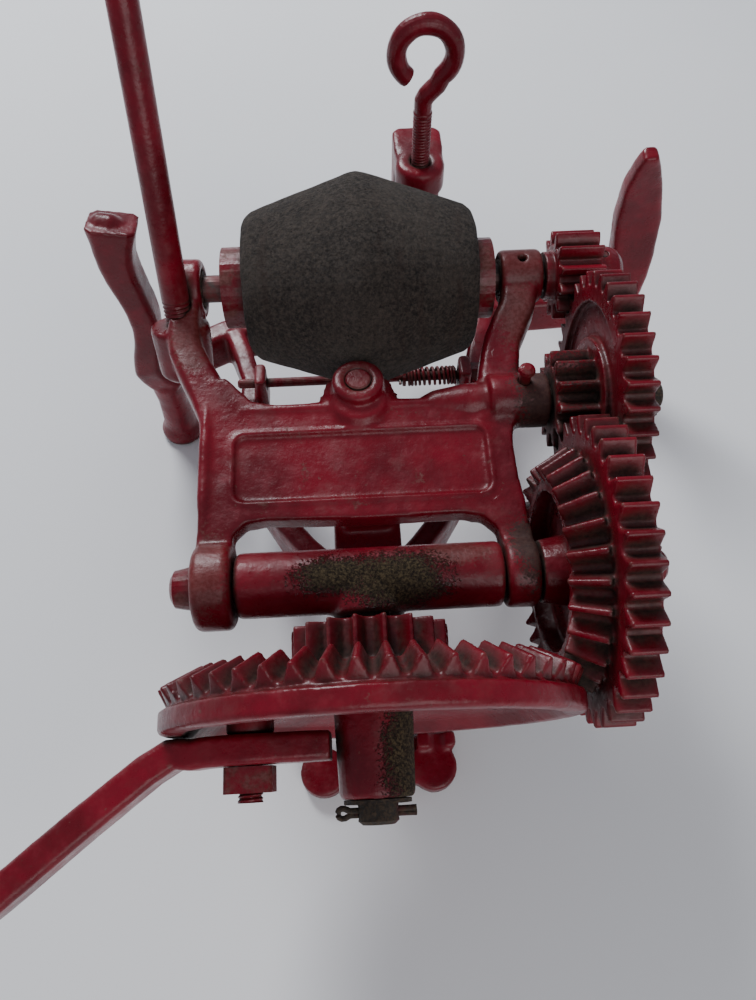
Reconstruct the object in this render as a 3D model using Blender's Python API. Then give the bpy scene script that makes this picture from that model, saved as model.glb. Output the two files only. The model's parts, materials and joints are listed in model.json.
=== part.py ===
"""Hand-cranked grinder for mower knives: a cast frame, a swinging head that carries a
double-cone stone, and a bevel-and-spur gear train driven by a crank.

Frame: metres, +Z up, +X along the shafts to the right, +Y away from the operator.
The origin lies on the table plane, straight below the hinge shaft of the head.
All sizes below are in inches, as the original was drawn, and are turned into metres
when each mesh is made.
"""
import bmesh
import bpy
from math import acos, atan, atan2, cos, hypot, pi, radians, sin, tan
from mathutils import Vector

for old in list(bpy.data.objects):
    bpy.data.objects.remove(old, do_unlink=True)

INCH = 0.0254
GAP = 0.012

# shafts of the head, seen along X: hinge, gear stud, stone shaft (y, z)
HINGE_Z = 5.70
STUD_Y = 3.075
STUD_Z = 6.155
STONE_Y = 5.83
STONE_Z = 6.40
SHAFT_R = 0.25

# gears: tooth counts, teeth per inch of pitch diameter, pressure angle, play between flanks
BEVEL_PITCH = 8.0
PRESSURE = radians(25.0)
PLAY = 0.022
ADDENDUM = 0.90
DEDENDUM = 1.20
CRANK_TEETH = 50
BEVEL_TEETH = 28
SPUR_TEETH = 38
PINION_TEETH = 12
INTER_TEETH = 35
BACK_TEETH = 18
PITCH_A = (SPUR_TEETH + PINION_TEETH) / 2 / hypot(STUD_Y, STUD_Z - HINGE_Z)
PITCH_B = (INTER_TEETH + PINION_TEETH) / 2 / hypot(STONE_Y - STUD_Y, STONE_Z - STUD_Z)
CRANK_TILT = radians(11.0)
CRANK_X = -0.21
CRANK_FACE = (0.84, 1.0)
CONE_FACE = (0.905, 1.08)
SPUR_PHASE = radians(47.5)
INTER_PHASE = radians(50.1)

# positions along X
SPUR_X = (3.20, 3.74)
INTER_X = (3.81, 4.31)
PINION_X = (3.14, 3.90)
LEFT_EAR_X = (-2.94, -2.31)
RIGHT_EAR_X = (1.98, 2.51)
BARREL_X = (-2.28, 1.95)

# stone
STONE_X = -0.05
STONE_HALF = 2.10
STONE_R = 1.97
STONE_END_R = 1.28

# clamp for the knife bar
CLAMP_X = 1.28
CLAMP_Y = 8.47
JAW_TOP_Z = 7.05
JAW_LOW_Z = 6.45
REST_Z = 5.80

# spring rod
ROD_Y = 6.15
ROD_Z = 3.15
ROD_R = 0.105

PAINT = (0.30, 0.035, 0.045)
STEEL = (0.22, 0.20, 0.18)
GRIT = (0.13, 0.12, 0.11)
WOOD = (0.33, 0.20, 0.10)
DARK = (0.10, 0.07, 0.05)


def material(name, colour, roughness, metallic):
    found = bpy.data.materials.get(name)
    if found:
        return found
    made = bpy.data.materials.new(name)
    made.use_nodes = True
    shader = made.node_tree.nodes["Principled BSDF"]
    shader.inputs["Base Color"].default_value = (*colour, 1.0)
    shader.inputs["Roughness"].default_value = roughness
    shader.inputs["Metallic"].default_value = metallic
    made.diffuse_color = (*colour, 1.0)
    return made


def pivot(name, place, turn=(0.0, 0.0, 0.0)):
    """An empty on a joint's axis, which carries the pieces that turn with it."""
    empty = bpy.data.objects.new(name, None)
    empty.empty_display_size = 0.02
    empty.location = Vector(place) * INCH
    empty.rotation_euler = turn
    bpy.context.collection.objects.link(empty)
    return empty


def join(shapes):
    """Put several closed shapes into one mesh, in metres, with faces pointing out."""
    whole = bmesh.new()
    for shape in shapes:
        bmesh.ops.recalc_face_normals(shape, faces=shape.faces)
        mesh = bpy.data.meshes.new("shape")
        shape.to_mesh(mesh)
        shape.free()
        whole.from_mesh(mesh)
        bpy.data.meshes.remove(mesh)
    bmesh.ops.scale(whole, vec=(INCH, INCH, INCH), verts=whole.verts)
    return whole


def make(name, parent, shapes, look, guide=False, crease=35.0):
    mesh = bpy.data.meshes.new(name)
    whole = join(shapes)
    whole.to_mesh(mesh)
    whole.free()
    item = bpy.data.objects.new(name, mesh)
    bpy.context.collection.objects.link(item)
    item.parent = parent
    if guide:
        item.hide_render = True
        item.display_type = "WIRE"
        return item
    mesh.materials.append(material(*look))
    mesh.shade_smooth()
    mesh.set_sharp_from_angle(angle=radians(crease))
    return item


def combine(item, shapes, label, operation):
    """Join shapes to a piece, or cut them from it, with a live Boolean."""
    tool = make(item.name + "_" + label, item.parent, shapes, None, guide=True)
    step = item.modifiers.new(label, "BOOLEAN")
    step.object = tool
    step.operation = operation
    step.solver = "EXACT"
    step.use_self = True


def loft(loops, closed=False):
    """Skin a row of loops with the same number of points, with or without end faces."""
    shape = bmesh.new()
    rows = []
    for loop in loops:
        rows.append([shape.verts.new(point) for point in loop])
    count = len(rows[0])
    pairs = list(zip(rows, rows[1:]))
    if closed:
        pairs.append((rows[-1], rows[0]))
    for first, second in pairs:
        for i in range(count):
            j = (i + 1) % count
            shape.faces.new((first[i], first[j], second[j], second[i]))
    if not closed:
        shape.faces.new(rows[0])
        shape.faces.new(rows[-1])
    return shape


def along_x(x, radius, angle, y=0.0, z=0.0):
    return Vector((x, y + radius * cos(angle), z + radius * sin(angle)))


def turned_x(profile, segments=32, y=0.0, z=0.0, ring=False):
    """Turn (x, radius) points about a line along X. A ring profile closes on itself."""
    loops = []
    for x, radius in profile:
        loops.append([along_x(x, radius, 2 * pi * i / segments, y, z) for i in range(segments)])
    return loft(loops, closed=ring)


def turned(start, end, profile, segments=24, ring=False):
    """Turn (distance, radius) points about the line from start towards end."""
    start = Vector(start)
    axis = (Vector(end) - start).normalized()
    side = axis.orthogonal().normalized()
    other = axis.cross(side)
    loops = []
    for distance, radius in profile:
        loop = []
        for i in range(segments):
            angle = 2 * pi * i / segments
            loop.append(start + axis * distance + radius * (cos(angle) * side + sin(angle) * other))
        loops.append(loop)
    return loft(loops, closed=ring)


def bar(start, end, radius, segments=24, round_over=0.0):
    length = (Vector(end) - Vector(start)).length
    if round_over:
        edge = radius - round_over
        steps = [(0, edge), (round_over, radius), (length - round_over, radius), (length, edge)]
        return turned(start, end, steps, segments)
    return turned(start, end, [(0, radius), (length, radius)], segments)


def washer(start, end, inner, outer, segments=24):
    length = (Vector(end) - Vector(start)).length
    steps = [(0, inner), (0, outer), (length, outer), (length, inner)]
    return turned(start, end, steps, segments, ring=True)


def box(low, high, cut=0.0):
    """A block with its edges along Z cut off at the corners."""
    x0, y0, z0 = low
    x1, y1, z1 = high
    c = cut
    outline = [(x0 + c, y0), (x1 - c, y0), (x1, y0 + c), (x1, y1 - c)]
    outline += [(x1 - c, y1), (x0 + c, y1), (x0, y1 - c), (x0, y0 + c)]
    if not cut:
        outline = [(x0, y0), (x1, y0), (x1, y1), (x0, y1)]
    return loft([[Vector((x, y, z)) for x, y in outline] for z in (z0, z1)])


def smooth_path(points, steps):
    """A curve through the points, with the given number of steps between each two."""
    points = [Vector(p) for p in points]
    out = []
    for i in range(len(points) - 1):
        before = points[max(i - 1, 0)]
        a = points[i]
        b = points[i + 1]
        after = points[min(i + 2, len(points) - 1)]
        for k in range(steps):
            t = k / steps
            term = (b - before) * t
            term += (2 * before - 5 * a + 4 * b - after) * t * t
            term += (3 * a - before - 3 * b + after) * t * t * t
            out.append(a + term * 0.5)
    out.append(points[-1])
    return out


def sweep(points, sizes, up=(0, 0, 1), steps=2, corner=0.3):
    """A bar of cut-cornered section along a curve. Sizes are (width, height) at each point."""
    path = smooth_path(points, steps)
    up = Vector(up)
    loops = []
    for k, centre in enumerate(path):
        ahead = path[min(k + 1, len(path) - 1)] - path[max(k - 1, 0)]
        ahead.normalize()
        side = ahead.cross(up).normalized()
        top = side.cross(ahead).normalized()
        place = min(k / steps, len(sizes) - 1.0)
        i = min(int(place), len(sizes) - 2)
        part = place - i
        w = (sizes[i][0] * (1 - part) + sizes[i + 1][0] * part) / 2
        h = (sizes[i][1] * (1 - part) + sizes[i + 1][1] * part) / 2
        c = corner * min(w, h)
        outline = [(w - c, -h), (w, c - h), (w, h - c), (w - c, h)]
        outline += [(c - w, h), (-w, h - c), (-w, c - h), (c - w, -h)]
        loops.append([centre + side * a + top * b for a, b in outline])
    return loft(loops)


def involute(angle):
    return tan(angle) - angle


def half_tooth(radius, pitch_r, pitch):
    """Half the angle that a tooth fills at a radius."""
    base = pitch_r * cos(PRESSURE)
    thick = (pi / (2 * pitch) - PLAY) / (2 * pitch_r)
    at = acos(min(1.0, base / max(radius, base)))
    return thick + involute(PRESSURE) - involute(at)


def tooth_outline(teeth, pitch, phase, levels):
    """(radius, angle) points round a gear, with the given flank levels from root to tip."""
    pitch_r = teeth / pitch / 2
    root = pitch_r - DEDENDUM / pitch
    tip = pitch_r + ADDENDUM / pitch
    radii = [root + (tip - root) * level for level in levels]
    out = []
    for k in range(teeth):
        middle = phase + 2 * pi * k / teeth
        for r in radii:
            out.append((r, middle - half_tooth(r, pitch_r, pitch)))
        for r in reversed(radii):
            out.append((r, middle + half_tooth(r, pitch_r, pitch)))
    return out


FINE = (0.0, 0.35, 0.68, 1.0)
PLAIN = (0.0, 1.0)


def spur_x(teeth, pitch, phase, span, levels=PLAIN):
    """A toothed wheel about the X axis."""
    outline = tooth_outline(teeth, pitch, phase, levels)
    return loft([[along_x(x, r, a) for r, a in outline] for x in span])


def meshed(teeth_a, phase_a, line, teeth_b):
    """The phase of gear b, so that its gaps meet the teeth of gear a along the line."""
    return line + pi + pi / teeth_b - (phase_a - line) * teeth_a / teeth_b


def bevel_teeth(teeth, mate, phase, face, place):
    """The toothed rim of a bevel gear with its apex at the origin.

    The profile lies on the back cone, and every section is the same profile scaled
    about the apex. The face gives the scales of its small end and its large end.
    """
    pitch_r = teeth / BEVEL_PITCH / 2
    cone = atan(teeth / mate)
    height = pitch_r / tan(cone)
    virtual_r = pitch_r / cos(cone)
    root = -DEDENDUM / BEVEL_PITCH
    tip = ADDENDUM / BEVEL_PITCH
    small, large = face
    base = virtual_r * cos(PRESSURE)
    thick = (pi / (2 * BEVEL_PITCH) - PLAY) / (2 * virtual_r)
    rim = []
    inner = []
    for k in range(teeth):
        middle = phase + 2 * pi * k / teeth
        sides = []
        for level in PLAIN:
            rise = root + (tip - root) * level
            at = acos(min(1.0, base / max(virtual_r + rise, base)))
            half = (thick + involute(PRESSURE) - involute(at)) / cos(cone)
            sides.append((rise, half))
        row = [(rise, -half) for rise, half in sides]
        row += [(rise, half) for rise, half in reversed(sides)]
        for rise, half in row:
            rim.append((pitch_r + rise * cos(cone), middle + half, height - rise * sin(cone)))
            sunk = root - 0.10
            inner.append((pitch_r + sunk * cos(cone), middle + half, height - sunk * sin(cone)))
    loops = [
        [place(r * large, a, h * large) for r, a, h in rim],
        [place(r * small, a, h * small) for r, a, h in rim],
        [place(r * small, a, h * small) for r, a, h in inner],
        [place(r * large, a, h * large) for r, a, h in inner],
    ]
    return loft(loops, closed=True)


PAINTED = ("red_paint", PAINT, 0.5, 0.1)
BARE = ("bare_steel", STEEL, 0.45, 0.8)
GREASY = ("greasy_iron", DARK, 0.6, 0.5)
STONE_LOOK = ("grindstone_grit", GRIT, 0.95, 0.0)
WOOD_LOOK = ("worn_wood", WOOD, 0.6, 0.0)

base = pivot("base_origin", (0, 0, 0))
crank = pivot("crank_axis", (CRANK_X, 0, HINGE_Z), (pi / 2 + CRANK_TILT, 0, 0))
compound = pivot("hinge_axis_gear", (0, 0, HINGE_Z))
head = pivot("hinge_axis_head", (0, 0, HINGE_Z))
middle = pivot("gear_stud_axis", (0, STUD_Y, STUD_Z))
stone = pivot("stone_axis", (0, STONE_Y, STONE_Z))
clamp = pivot("clamp_axis", (CLAMP_X, CLAMP_Y, JAW_LOW_Z))
plunger = pivot("spring_rod_axis", (0, ROD_Y, ROD_Z))

# ---------------------------------------------------------------- base casting
TOE = -1.84
FOOT_TOP = 0.34
LEFT_TOE_X = -1.25
RIGHT_TOE_X = 1.02
TOE_R = 0.49
column = box((-0.72, -0.30, 0.30), (0.42, 1.55, HINGE_Z - 0.35), cut=0.12)
frame_parts = [
    bar((BARREL_X[0], 0, HINGE_Z), (BARREL_X[1], 0, HINGE_Z), 0.53, 24, 0.05),
    box((-1.50, TOE - 0.32, 0), (1.30, TOE + 0.32, FOOT_TOP), cut=0.10),
    bar((LEFT_TOE_X, TOE, 0), (LEFT_TOE_X, TOE, FOOT_TOP + 0.05), TOE_R, 24),
    bar((RIGHT_TOE_X, TOE, 0), (RIGHT_TOE_X, TOE, FOOT_TOP + 0.05), TOE_R, 24),
    box((-0.55, TOE, 0), (0.30, 1.20, 0.52), cut=0.05),
]
lug = box((0.70, TOE + 0.34, 0.03), (1.52, TOE + 0.68, 0.50), cut=0.05)
frame_parts.append(lug)
frame_parts.append(box((0.10, TOE + 0.20, 0.04), (0.90, TOE + 0.64, 0.26)))
RAIL = (0.46, 1.20)
RAIL_Z = 2.20
left_rail = [(-0.35, 1.20), (-1.35, 2.15), (-2.20, 3.40), (-2.68, 5.00), (-2.62, 6.60), (-3.10, 8.15)]
right_rail = [(0.05, 1.20), (0.95, 2.10), (1.80, 3.30), (2.36, 4.90), (2.52, 6.40), (3.05, 8.35)]
for rail in (left_rail, right_rail):
    frame_parts.append(sweep([(x, y, RAIL_Z) for x, y in rail], [RAIL] * 6))
CROSS = (0.62, 1.00)
CROSS_Z = 2.25
cross_rail = [(-4.85, 7.30), (-3.30, 8.25), (0.00, 8.80), (3.40, 8.78), (6.40, 9.00)]
frame_parts.append(sweep([(x, y, CROSS_Z) for x, y in cross_rail], [CROSS] * 5))
left_horn = [(-4.72, 7.35, 2.05), (-5.10, 7.15, 2.90), (-5.16, 7.20, 3.90)]
left_horn += [(-5.12, 7.30, 4.90), (-4.98, 7.42, 5.90), (-4.86, 7.55, 6.60)]
left_sizes = [(0.75, 0.80), (0.62, 0.80), (0.58, 0.78), (0.60, 0.75), (0.72, 0.80), (1.00, 0.90)]
frame_parts.append(sweep(left_horn, left_sizes, up=(0, -1, 0)))
right_horn = [(6.30, 9.00, 2.05), (6.58, 8.98, 2.80), (6.55, 9.08, 3.80)]
right_horn += [(6.42, 9.15, 4.90), (6.24, 9.05, 5.90), (6.12, 8.85, 6.75)]
right_sizes = [(0.75, 0.80), (0.80, 0.75), (1.00, 0.60), (1.05, 0.50), (0.80, 0.42), (0.30, 0.34)]
frame_parts.append(sweep(right_horn, right_sizes, up=(0, -1, 0)))
LEG = [(0, 0.50), (0.04, 0.55), (0.20, 0.55), (0.45, 0.42), (1.40, 0.36), (2.10, 0.40)]
for foot in ((-4.80, 7.25, 0), (6.35, 9.00, 0)):
    frame_parts.append(turned(foot, Vector(foot) + Vector((0, 0, 1)), LEG, 20))
post_low = (CLAMP_X - 0.50, CLAMP_Y + 0.35, 1.85)
post_high = (CLAMP_X + 0.50, CLAMP_Y + 1.15, JAW_TOP_Z - 0.03)
frame_parts.append(box(post_low, post_high, cut=0.12))
jaw_low = (CLAMP_X - 0.49, CLAMP_Y, JAW_LOW_Z + 0.02)
jaw_high = (CLAMP_X + 0.49, CLAMP_Y + 0.9, JAW_TOP_Z - 0.06)
frame_parts.append(box(jaw_low, jaw_high))
jaw = [(0, 0.46), (0.04, 0.50), (0.52, 0.50), (0.60, 0.42)]
jaw_base = (CLAMP_X, CLAMP_Y, JAW_LOW_Z)
frame_parts.append(turned(jaw_base, (CLAMP_X, CLAMP_Y, JAW_TOP_Z), jaw, 24))
rest_low = (CLAMP_X - 0.47, CLAMP_Y - 0.42, REST_Z - 0.55)
frame_parts.append(box(rest_low, (CLAMP_X + 0.47, CLAMP_Y + 0.8, REST_Z), cut=0.08))
EAR_LOW = ROD_Z - 0.65
EAR_TOP = ROD_Z + 0.34
frame_parts.append(box((-2.46, ROD_Y - 0.30, EAR_LOW), (-2.20, ROD_Y + 0.30, EAR_TOP), cut=0.05))
frame_parts.append(box((2.12, ROD_Y - 0.30, EAR_LOW), (2.40, ROD_Y + 0.30, EAR_TOP), cut=0.05))
crank_back = Vector((0, cos(CRANK_TILT), sin(CRANK_TILT)))
apex = Vector((CRANK_X, 0, HINGE_Z))
stud_boss_front = apex - crank_back * 0.60
frame_parts.append(bar(stud_boss_front, apex + crank_back * 0.2, 0.56, 20, 0.04))
STOP_TOP = HINGE_Z - 0.05
frame_parts.append(box((-0.60, 1.10, STOP_TOP - 0.75), (0.30, 1.50, STOP_TOP), cut=0.08))

base_frame = make("base_frame", base, [column], PAINTED)
combine(base_frame, frame_parts, "castings", "UNION")
stud_r = 0.30
frame_cuts = [
    bar((-3, 0, HINGE_Z), (3, 0, HINGE_Z), SHAFT_R + GAP, 24),
    bar(apex - crank_back * 0.9, apex - crank_back * 0.30, stud_r + GAP, 24),
    bar((1.12, TOE, 0.58), (1.12, TOE + 1.0, 0.58), 0.19, 16),
    box((-0.52, 0.85, 3.20), (0.22, 2.2, 4.60), cut=0.10),
    bar((-3.2, ROD_Y, ROD_Z), (3.2, ROD_Y, ROD_Z), ROD_R + GAP, 16),
    bar((CLAMP_X, CLAMP_Y, JAW_LOW_Z - 0.1), (CLAMP_X, CLAMP_Y, JAW_TOP_Z + 0.2), 0.1875 + GAP, 16),
]
combine(base_frame, frame_cuts, "holes", "DIFFERENCE")

# ---------------------------------------------------------------- hinge shaft
HEAD_END = LEFT_EAR_X[0] - GAP
SHAFT_END = 4.60
shaft_steps = [(HEAD_END - 0.36, 0.20), (HEAD_END - 0.30, 0.30), (HEAD_END, 0.36), (HEAD_END, SHAFT_R)]
shaft_steps += [(SHAFT_END - 0.05, SHAFT_R), (SHAFT_END, SHAFT_R - 0.05)]
hinge_shaft = make("hinge_shaft", base, [turned_x(shaft_steps, 24, z=HINGE_Z)], BARE)
COTTER_R = 0.062
PIN_X = 4.40
shaft_hole = bar((PIN_X, -0.2, HINGE_Z - 1), (PIN_X, 0.2, HINGE_Z + 1), COTTER_R + GAP, 12)
combine(hinge_shaft, [shaft_hole], "cotter_hole", "DIFFERENCE")


def cotter(name, parent, centre, along, reach, look, radius=COTTER_R):
    """A split pin: a straight shank with an eye at one end and a spread tail."""
    centre = Vector(centre)
    along = Vector(along).normalized()
    bottom = centre - along * reach
    top = centre + along * reach
    steps = [(0, 0.04), (0.03, radius), (2 * reach, radius), (2 * reach + 0.03, radius * 1.9)]
    steps += [(2 * reach + 0.16, radius * 2.1), (2 * reach + 0.24, radius)]
    return make(name, parent, [turned(bottom, top, steps, 12)], look)


cotter("hinge_shaft_cotter", base, (PIN_X, 0, HINGE_Z), (0, 0.2, 1), 0.40, BARE)
collar_span = ((4.10 + GAP, 0, HINGE_Z), (4.10 + GAP + 0.16, 0, HINGE_Z))
make("hinge_shaft_washer", base, [washer(*collar_span, SHAFT_R + GAP, 0.45)], GREASY)

# ---------------------------------------------------------------- spring rod
ROD_LEFT = -2.86
ROD_RIGHT = 2.78
rod_steps = [(ROD_LEFT, 0.07), (ROD_LEFT + 0.04, ROD_R), (ROD_RIGHT - 0.04, ROD_R), (ROD_RIGHT, 0.07)]
spring_rod = make("spring_rod", plunger, [turned_x(rod_steps, 16)], PAINTED)
SEAT_X = 0.86
seat = washer((SEAT_X, 0, 0), (SEAT_X + 0.07, 0, 0), ROD_R + GAP, 0.21, 20)
make("spring_seat_washer", plunger, [seat], PAINTED)
seat_pin_x = SEAT_X - GAP - 0.045
rod_cuts = [bar((seat_pin_x, -1, 0), (seat_pin_x, 1, 0), 0.035 + GAP / 2, 10)]
combine(spring_rod, rod_cuts, "pin_hole", "DIFFERENCE")
make("spring_seat_pin", plunger, [bar((seat_pin_x, -0.2, 0), (seat_pin_x, 0.2, 0), 0.035, 10)], BARE)
nut_start = 2.40 + GAP
nut_inner = (ROD_R + GAP) / cos(pi / 6)
nut = washer((nut_start, 0, 0), (nut_start + 0.20, 0, 0), nut_inner, 0.26, 6)
make("spring_rod_nut", plunger, [nut], PAINTED)


def coil(x0, x1, radius, wire, turns, sides=5, per_turn=8):
    """A coil spring along X, with plain cut ends."""
    loops = []
    count = int(turns * per_turn)
    for k in range(count + 1):
        angle = 2 * pi * k / per_turn
        x = x0 + (x1 - x0) * k / count
        out = Vector((0, cos(angle), sin(angle)))
        ahead = Vector((1, 0, 0))
        loop = []
        for i in range(sides):
            turn = 2 * pi * i / sides
            loop.append(Vector((x, 0, 0)) + out * (radius + wire * cos(turn)) + ahead * wire * sin(turn))
        loops.append(loop)
    return loft(loops)


SPRING_WIRE = 0.034
spring_from = SEAT_X + 0.07 + GAP + SPRING_WIRE
spring_to = 2.12 - GAP - SPRING_WIRE
make("return_spring", plunger, [coil(spring_from, spring_to, 0.185, SPRING_WIRE, 12)], PAINTED)

# ---------------------------------------------------------------- eye bolt and its shoe
BOLT_R = 0.1875
SHOE_THICK = 0.12
shoe_top = -0.02
shoe_steps = [(0, 0.28), (0.03, 0.31), (SHOE_THICK, 0.31)]
shoe_base = (0, 0, shoe_top - SHOE_THICK)
shoe = make("clamp_shoe", clamp, [turned(shoe_base, (0, 0, 1), shoe_steps, 20)], BARE)
socket = bar((0, 0, shoe_top - 0.07), (0, 0, shoe_top + 0.1), 0.13 + GAP, 16)
combine(shoe, [socket], "socket", "DIFFERENCE")
EYE_R = 0.52
EYE_WIRE = 0.185
EYE_Z = 2.75
shank_top = EYE_Z - EYE_R
shank_steps = [(0, 0.11), (0.03, 0.13), (0.09, 0.13), (0.12, BOLT_R)]
shank_low = shoe_top - 0.07 + GAP
shank_steps += [(shank_top - shank_low, BOLT_R)]
shank = turned((0, 0, shank_low), (0, 0, 1), shank_steps, 16)
EYE_STEPS = 26
EYE_OPEN = 12.0
eye_loops = []
for k in range(EYE_STEPS + 1):
    angle = radians(-90 + (360 - EYE_OPEN) * k / EYE_STEPS)
    out = Vector((cos(angle), 0, sin(angle)))
    ring_loop = []
    for i in range(12):
        turn = 2 * pi * i / 12
        spoke = EYE_R + EYE_WIRE * cos(turn)
        ring_loop.append(Vector((0, 0, EYE_Z)) + out * spoke + Vector((0, EYE_WIRE * sin(turn), 0)))
    eye_loops.append(ring_loop)
eye_bolt = make("eye_bolt", clamp, [shank], PAINTED)
combine(eye_bolt, [loft(eye_loops)], "eye", "UNION")

# ---------------------------------------------------------------- crank stud (fixed)
GEAR_PITCH_H = BEVEL_TEETH / BEVEL_PITCH / 2
HUB_FRONT = 3.27
STUD_END = 3.63
crank_fixed = pivot("crank_stud_axis", (CRANK_X, 0, HINGE_Z), (pi / 2 + CRANK_TILT, 0, 0))
stud_steps = [(0.32, stud_r), (STUD_END - 0.05, stud_r), (STUD_END, stud_r - 0.06)]
crank_stud = make("crank_stud", crank_fixed, [turned((0, 0, 0), (0, 0, 1), stud_steps, 24)], GREASY)
CRANK_PIN_H = 3.46
pin_hole = bar((-1, 0, CRANK_PIN_H), (1, 0, CRANK_PIN_H), 0.085 + GAP, 12)
combine(crank_stud, [pin_hole], "cotter_hole", "DIFFERENCE")
cotter("crank_stud_cotter", crank_fixed, (0, 0, CRANK_PIN_H), (-1, 0, 0), 0.54, GREASY, 0.085)
washer_span = ((0, 0, HUB_FRONT + GAP), (0, 0, HUB_FRONT + GAP + 0.06))
make("crank_washer", crank_fixed, [washer(*washer_span, stud_r + GAP, 0.50)], GREASY)


# ---------------------------------------------------------------- crank gear
def crank_place(radius, angle, height):
    return Vector((radius * cos(angle), radius * sin(angle), height))


rim_r = CRANK_TEETH / BEVEL_PITCH / 2
RIM_FRONT = GEAR_PITCH_H + 0.52
crank_teeth = bevel_teeth(CRANK_TEETH, BEVEL_TEETH, 0.0, CRANK_FACE, crank_place)
# the dished body: rim, sloping web, hub in front and collar behind
COLLAR_BACK = 0.74
body_steps = [
    (COLLAR_BACK, stud_r + GAP), (COLLAR_BACK, 0.80), (1.38, 0.80), (1.38, 1.18), (1.79, 2.42),
    (1.64, 2.46), (1.63, 2.545), (1.93, 3.03), (1.95, rim_r + 0.03),
    (RIM_FRONT - 0.06, rim_r + 0.02), (RIM_FRONT, rim_r - 0.05),
    (RIM_FRONT, rim_r - 0.28), (2.07, 2.62), (1.68, 1.00), (1.68, 0.62),
    (HUB_FRONT - 0.06, 0.56), (HUB_FRONT, 0.52), (HUB_FRONT, stud_r + GAP),
]
gear_body = turned((0, 0, 0), (0, 0, 1), body_steps, 30, ring=True)
crank_gear = make("crank_gear", crank, [gear_body], PAINTED)
back_outline = tooth_outline(BACK_TEETH, PITCH_A, 0.0, PLAIN)
back_span = (COLLAR_BACK + 0.02, 1.50)
back_pinion = loft([[crank_place(r, a, h) for r, a in back_outline] for h in back_span])
ARM_BOLT_X = -1.86
BOLT_SEAT = 1.45
bolt_boss = bar((ARM_BOLT_X, 0, BOLT_SEAT), (ARM_BOLT_X, 0, RIM_FRONT), 0.36, 20)
combine(crank_gear, [crank_teeth, back_pinion, bolt_boss], "teeth", "UNION")
bore = bar((0, 0, 0.5), (0, 0, HUB_FRONT + 0.5), stud_r + GAP, 24)
bolt_r = 0.1875
bolt_hole = bar((ARM_BOLT_X, 0, 0.8), (ARM_BOLT_X, 0, 4.0), bolt_r + GAP, 16)
combine(crank_gear, [bore, bolt_hole], "bores", "DIFFERENCE")

# ---------------------------------------------------------------- crank arm and handle
ARM_BACK = RIM_FRONT + GAP
ARM_THICK = 0.44
arm_z = ARM_BACK + ARM_THICK / 2
ARM_BEND_X = -2.90
ARM_OUT_X = -6.60
ARM_OUT_Z = arm_z + (ARM_BEND_X - ARM_OUT_X) * tan(radians(35.0))
CRANK_RADIUS = 8.80
arm_points = [(-0.66, 0, arm_z), (-1.9, 0, arm_z), (ARM_BEND_X + 0.2, 0, arm_z + 0.03)]
arm_points += [(ARM_BEND_X - 0.45, 0, arm_z + 0.22)]
arm_points += [(ARM_OUT_X + 0.45, 0, ARM_OUT_Z - 0.24), (ARM_OUT_X - 0.2, 0, ARM_OUT_Z)]
arm_points += [(-CRANK_RADIUS, 0, ARM_OUT_Z)]
arm_sizes = [(0.95, 0.42), (0.98, ARM_THICK), (0.80, ARM_THICK), (0.72, 0.46), (0.70, 0.46)]
arm_sizes += [(0.70, 0.42), (0.74, 0.36)]
arm = sweep(arm_points, arm_sizes, steps=3)
crank_arm = make("crank_arm", crank, [arm], PAINTED)
arm_end = (-CRANK_RADIUS, 0, ARM_OUT_Z - 0.18)
end_boss = bar(arm_end, (-CRANK_RADIUS, 0, ARM_OUT_Z + 0.18), 0.42, 24)
combine(crank_arm, [end_boss], "end_boss", "UNION")
HANDLE_R = 0.20
arm_cuts = [
    bar((ARM_BOLT_X, 0, 0.8), (ARM_BOLT_X, 0, 4.0), bolt_r + GAP, 16),
    bar((-CRANK_RADIUS, 0, 0), (-CRANK_RADIUS, 0, 9), HANDLE_R + GAP, 16),
    bar((0, 0, 0), (0, 0, 6), 0.62 + GAP, 32),
]
combine(crank_arm, arm_cuts, "holes", "DIFFERENCE")
arm_front = ARM_BACK + ARM_THICK
bolt_back = BOLT_SEAT - GAP
bolt_steps = [(0, 0.28), (0.20, 0.28), (0.20, bolt_r), (arm_front + 0.60 - bolt_back + 0.20, bolt_r)]
bolt_start = (ARM_BOLT_X, 0, bolt_back - 0.20)
arm_bolt = make("arm_bolt", crank, [turned(bolt_start, (ARM_BOLT_X, 0, 9), bolt_steps, 16)], BARE)
nut_low = (ARM_BOLT_X - 0.35, -0.35, arm_front + GAP)
nut_high = (ARM_BOLT_X + 0.35, 0.35, arm_front + GAP + 0.37)
arm_nut = make("arm_nut", crank, [box(nut_low, nut_high, cut=0.04)], PAINTED)
nut_bore = bar((ARM_BOLT_X, 0, 0), (ARM_BOLT_X, 0, 9), bolt_r + GAP, 16)
combine(arm_nut, [nut_bore], "bore", "DIFFERENCE")
GRIP_LENGTH = 4.20
grip_from = ARM_OUT_Z + 0.18 + 0.10
pin_end = grip_from + GRIP_LENGTH + 0.30
pin_back = ARM_OUT_Z - 0.18 - 0.10
pin_length = pin_end - pin_back
pin_steps = [(0, 0.26), (0.10 - GAP, 0.33), (0.10 - GAP, HANDLE_R), (pin_length - 0.22, HANDLE_R)]
pin_steps += [(pin_length - 0.22, 0.34), (pin_length - 0.05, 0.30), (pin_length, 0.16)]
pin_low = (-CRANK_RADIUS, 0, pin_back)
make("handle_pin", crank, [turned(pin_low, (-CRANK_RADIUS, 0, 99), pin_steps, 20)], BARE)
grip = pivot("grip_axis", (0, 0, 0))
grip.parent = crank
grip.location = Vector((-CRANK_RADIUS, 0, grip_from)) * INCH
grip_profile = [(0.00, HANDLE_R + GAP), (0.00, 0.42), (0.10, 0.48), (0.55, 0.50), (1.30, 0.60)]
grip_profile += [(2.10, 0.64), (3.00, 0.58), (3.60, 0.48), (3.95, 0.50), (4.05, 0.44)]
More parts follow.
